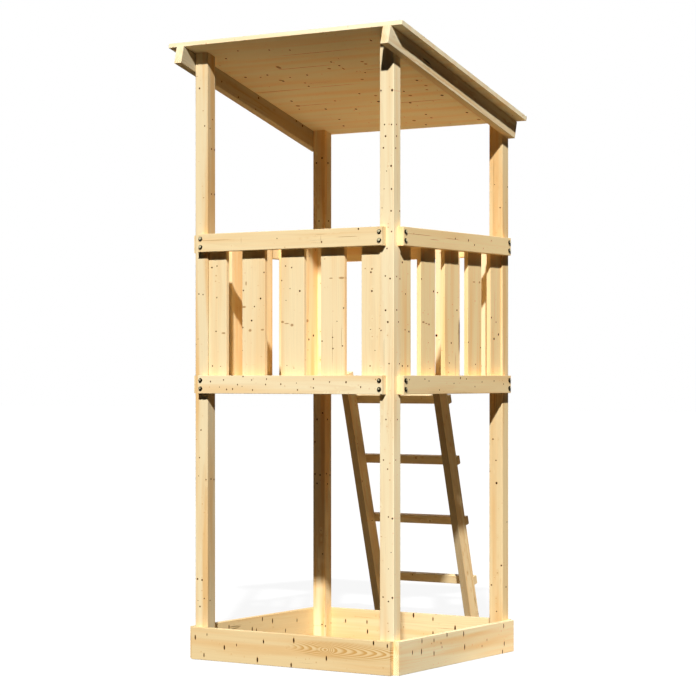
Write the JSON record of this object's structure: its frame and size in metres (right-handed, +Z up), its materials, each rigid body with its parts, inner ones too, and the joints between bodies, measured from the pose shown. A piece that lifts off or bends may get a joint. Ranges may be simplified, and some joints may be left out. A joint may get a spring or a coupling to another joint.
{
  "type": "timber play tower",
  "caption": "Timber play tower: posts carry a raised platform with slatted sides, a sloping roof, a ladder at the back and a boarded sandpit underneath.",
  "frame": {"origin": "on the ground, under the middle of all that the tower covers", "axes": "+X to the right along the front, +Y from the front to the ladder side, +Z up"},
  "size_m": [1.192, 1.5224, 2.6769],
  "materials": {
    "spruce": "planed, untreated",
    "bolts": "zinc plated"
  },
  "bodies": {
    "root": {"bottom_rail_back": "spruce", "bottom_rail_front": "spruce", "bottom_rail_left": "spruce", "bottom_rail_right": "spruce", "floor_boards": "spruce", "floor_joists": "spruce", "ladder_rung_1": "spruce", "ladder_rung_2": "spruce", "ladder_rung_3": "spruce", "ladder_rung_4": "spruce", "ladder_stringer_left": "spruce", "ladder_stringer_right": "spruce", "post_back_left": "spruce", "post_back_right": "spruce", "post_front_left": "spruce", "post_front_right": "spruce", "rafter_left": "spruce", "rafter_right": "spruce", "roof_deck": "spruce", "sandpit_board_back": "spruce", "sandpit_board_front": "spruce", "sandpit_board_left": "spruce", "sandpit_board_right": "spruce", "slat_back_1": "spruce", "slat_back_2": "spruce", "slat_front_1": "spruce", "slat_front_2": "spruce", "slat_front_3": "spruce", "slat_front_4": "spruce", "slat_front_5": "spruce", "slat_left_1": "spruce", "slat_left_2": "spruce", "slat_left_3": "spruce", "slat_left_4": "spruce", "slat_left_5": "spruce", "slat_right_1": "spruce", "slat_right_2": "spruce", "slat_right_3": "spruce", "slat_right_4": "spruce", "slat_right_5": "spruce", "top_rail_back": "spruce", "top_rail_front": "spruce", "top_rail_left": "spruce", "top_rail_right": "spruce"}
  },
  "joints": []
}
